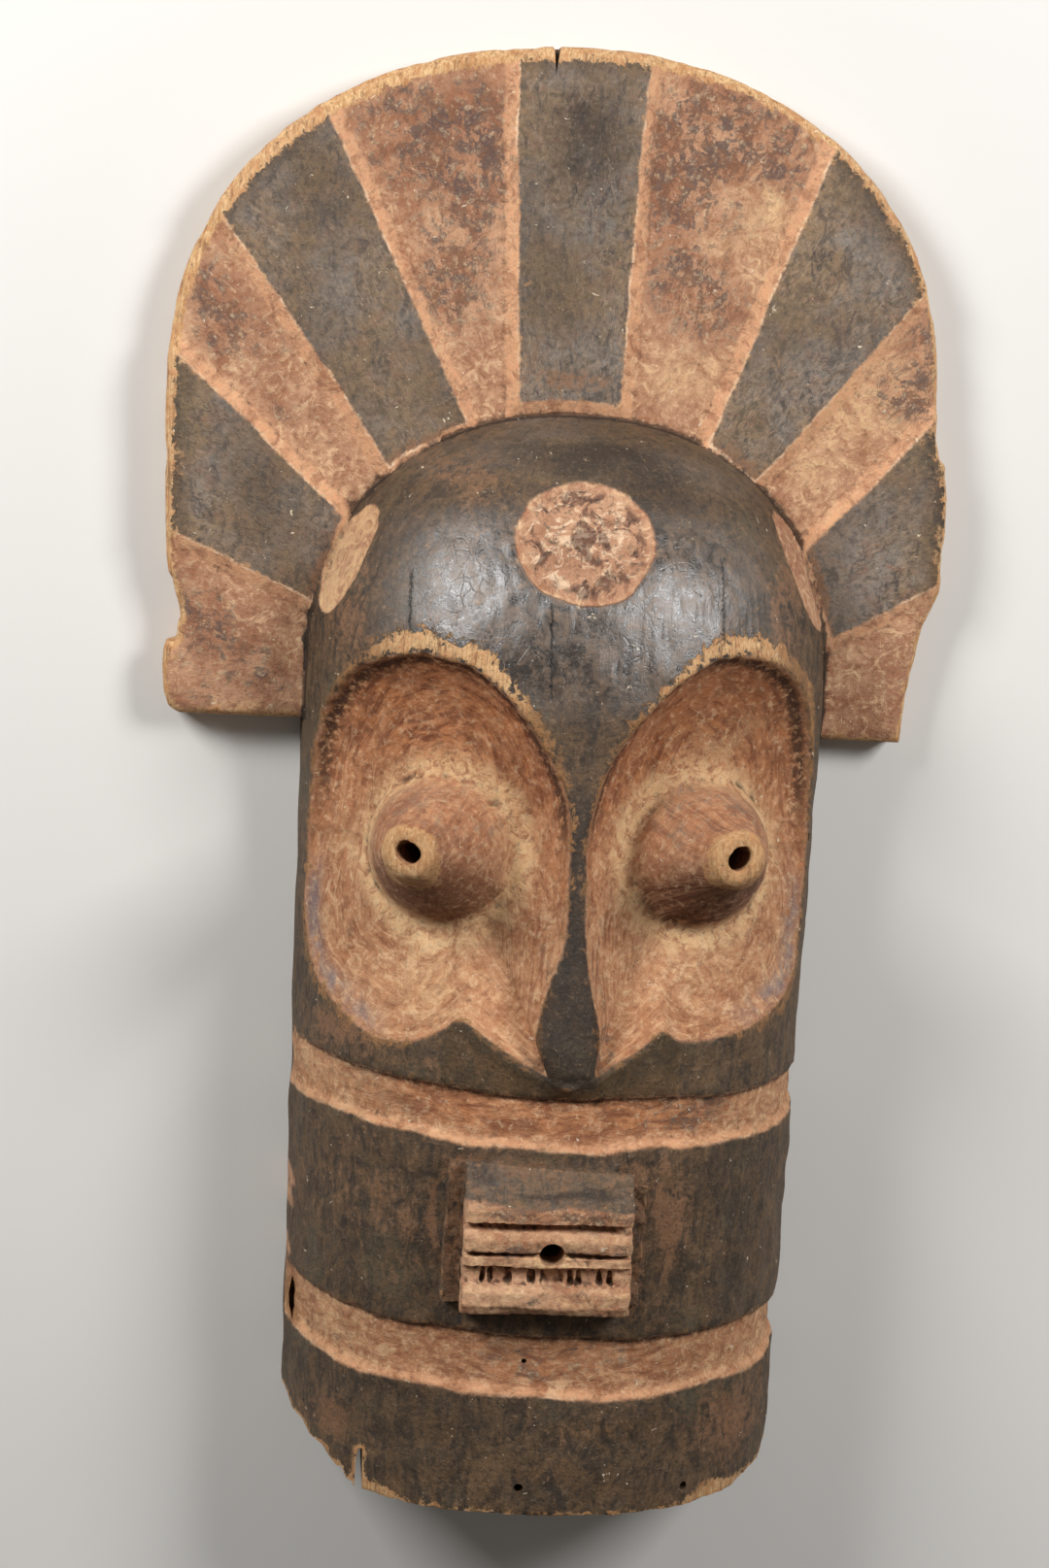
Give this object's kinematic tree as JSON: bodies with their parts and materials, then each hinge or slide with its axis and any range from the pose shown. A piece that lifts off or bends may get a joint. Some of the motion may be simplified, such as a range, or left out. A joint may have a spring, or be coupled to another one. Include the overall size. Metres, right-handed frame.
{
  "type": "carved crested face mask",
  "caption": "Carved wooden face mask: a long half-round face tube with cone eyes, closed by a dome, and a flat radiating crest behind it.",
  "frame": {"origin": "bottom centre of the mask's bounding box, in the flat back that it lies on", "axes": "+X the viewer's right, +Y from the open lower end to the crest's top, +Z out of the face"},
  "size_m": [0.3586, 0.649, 0.147],
  "materials": {
    "carved_wood": "hand-carved, black and ochre patina, worn to bare wood at the edges"
  },
  "bodies": {
    "root": {"mask": "carved_wood"}
  },
  "joints": []
}
